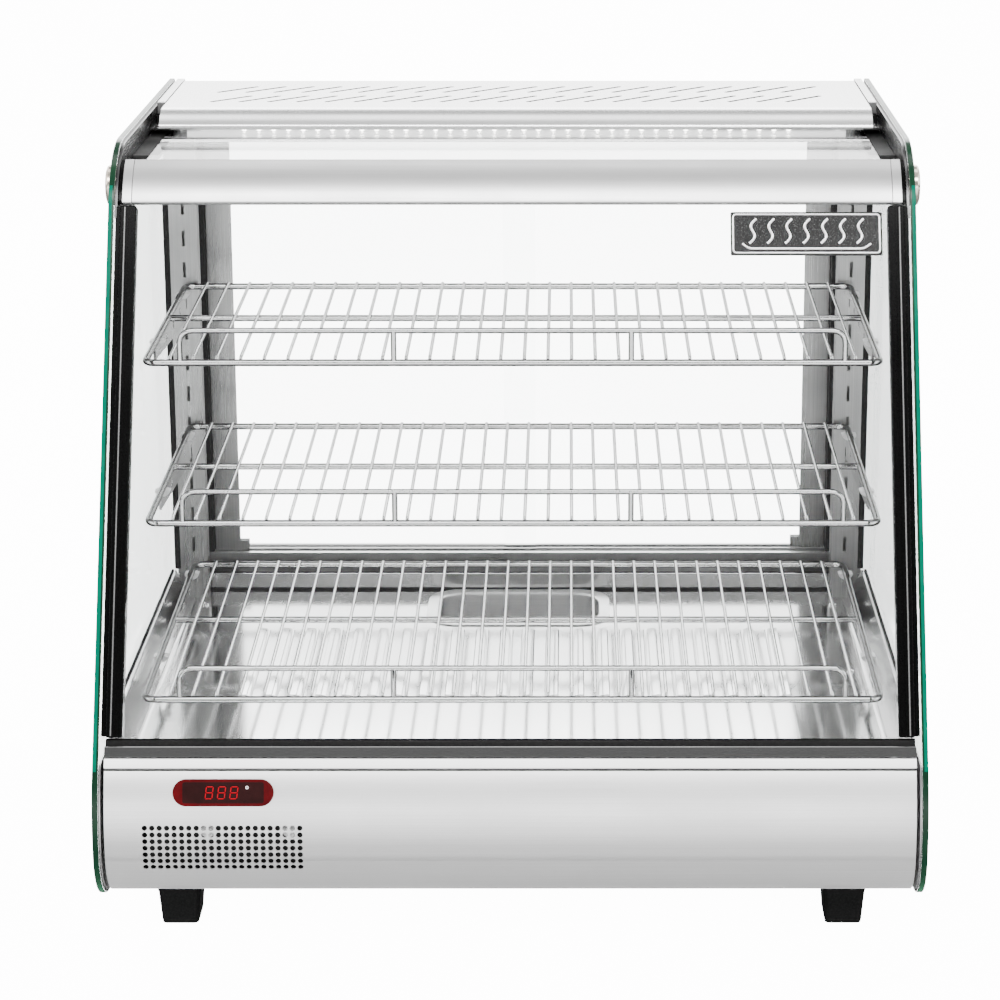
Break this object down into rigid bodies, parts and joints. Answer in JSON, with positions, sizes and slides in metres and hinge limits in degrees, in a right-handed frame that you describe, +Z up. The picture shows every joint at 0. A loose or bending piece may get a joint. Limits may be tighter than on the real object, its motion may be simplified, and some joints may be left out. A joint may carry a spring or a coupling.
{
  "type": "hot food display case",
  "caption": "Countertop heated display case with sloping lift-up front glass, wire shelves and sliding glass rear doors.",
  "frame": {"origin": "on the table, under the middle of the cabinet's bounding box", "axes": "+X to the right across the front, -Y towards the customer's side with the sloping glass, +Z up"},
  "size_m": [0.692, 0.6, 0.623],
  "materials": {
    "stainless": "fine brushed, satin",
    "polished_steel": "bright polished",
    "aluminium": "satin anodised",
    "chrome_wire": "bright plated",
    "clear_glass": "clear toughened",
    "black_rubber": "matt",
    "black_plastic": "moulded, fine texture",
    "white_plastic": "translucent white",
    "red_lens": "clear red, glossy",
    "badge": "speckled dark grey with a bright edge",
    "led_white": "white diffuser",
    "heater_metal": "heat darkened",
    "green_rocker": "glossy"
  },
  "bodies": {
    "cabinet": {"base_pan": "stainless", "base_front_panel": "stainless", "front_sill_strip": "polished_steel", "front_glass_channel": "aluminium", "front_gasket": "black_rubber", "base_side_left": "stainless", "base_side_right": "stainless", "base_rear_panel": "stainless", "floor_plate": "polished_steel", "floor_screws": "polished_steel", "side_glass_left": "clear_glass", "side_glass_right": "clear_glass", "pilaster_left": "stainless", "pilaster_right": "stainless", "rear_post_left": "aluminium", "rear_post_right": "aluminium", "rear_sill": "stainless", "lower_track": "aluminium", "upper_track": "aluminium", "rear_head": "stainless", "ceiling_plate": "polished_steel", "top_panel": "stainless", "top_cheek_left": "stainless", "top_cheek_right": "stainless", "top_trims": "aluminium", "post_seals": "black_rubber", "trim_plugs": "black_plastic", "top_glass": "clear_glass", "glass_ledges": "aluminium", "led_channel": "aluminium", "led_strip": "led_white", "bracket_arms_left": "polished_steel", "bracket_arms_right": "polished_steel", "shelf_clips": "white_plastic", "feet": "black_rubber", "display_lens": "red_lens", "display_module": "black_plastic", "heating_element": "heater_metal", "fan_frame": "black_plastic", "power_gland": "black_plastic", "hinge_cap_left": "polished_steel", "hinge_cap_right": "polished_steel"},
    "front_door": {"front_glass": "clear_glass", "front_rail": "polished_steel", "rail_end_left": "aluminium", "rail_end_right": "aluminium", "front_side_bars": "black_plastic", "badge_plate": "badge"},
    "rear_door_left": {"rear_glass_left": "clear_glass", "rear_stile_left": "aluminium"},
    "rear_door_right": {"rear_glass_right": "clear_glass", "rear_stile_right": "aluminium"},
    "lower_shelf": {"shelf_lower": "chrome_wire"},
    "middle_shelf": {"shelf_middle": "chrome_wire"},
    "upper_shelf": {"shelf_upper": "chrome_wire"},
    "pan": {"water_pan": "polished_steel"},
    "power_switch": {"power_rocker": "green_rocker"},
    "light_switch": {"light_rocker": "black_plastic"},
    "knob": {"thermostat_knob": "black_plastic"},
    "impeller": {"fan_rotor": "black_plastic"}
  },
  "joints": [
    {"name": "front_glass_hinge", "type": "hinge", "parent": "cabinet", "child": "front_door", "pos_m": [0, -0.048, 0.585], "axis": [-1, 0, 0], "range_deg": [0, 65]},
    {"name": "left_door_slide", "type": "slide", "parent": "cabinet", "child": "rear_door_left", "axis": [1, 0, 0], "range_m": [0, 0.284]},
    {"name": "right_door_slide", "type": "slide", "parent": "cabinet", "child": "rear_door_right", "axis": [-1, 0, 0], "range_m": [0, 0.284]},
    {"name": "lower_shelf_lift", "type": "slide", "parent": "cabinet", "child": "lower_shelf", "axis": [0, 0, 1], "range_m": [0, 0.03]},
    {"name": "middle_shelf_lift", "type": "slide", "parent": "cabinet", "child": "middle_shelf", "axis": [0, 0, 1], "range_m": [0, 0.03]},
    {"name": "upper_shelf_lift", "type": "slide", "parent": "cabinet", "child": "upper_shelf", "axis": [0, 0, 1], "range_m": [0, 0.03]},
    {"name": "pan_lift", "type": "slide", "parent": "cabinet", "child": "pan", "axis": [0, 0, 1], "range_m": [0, 0.02]},
    {"name": "power_rocker_tilt", "type": "hinge", "parent": "cabinet", "child": "power_switch", "pos_m": [-0.262, 0.281, 0.092], "axis": [1, 0, 0], "range_deg": [0, 12]},
    {"name": "light_rocker_tilt", "type": "hinge", "parent": "cabinet", "child": "light_switch", "pos_m": [-0.222, 0.281, 0.092], "axis": [1, 0, 0], "range_deg": [0, 12]},
    {"name": "thermostat_turn", "type": "hinge", "parent": "cabinet", "child": "knob", "pos_m": [-0.165, 0.281, 0.092], "axis": [0, 1, 0], "range_deg": [0, 270]},
    {"name": "impeller_spin", "type": "hinge", "parent": "cabinet", "child": "impeller", "pos_m": [0, -0.015, 0.062], "axis": [0, 0, 1], "continuous": true}
  ]
}
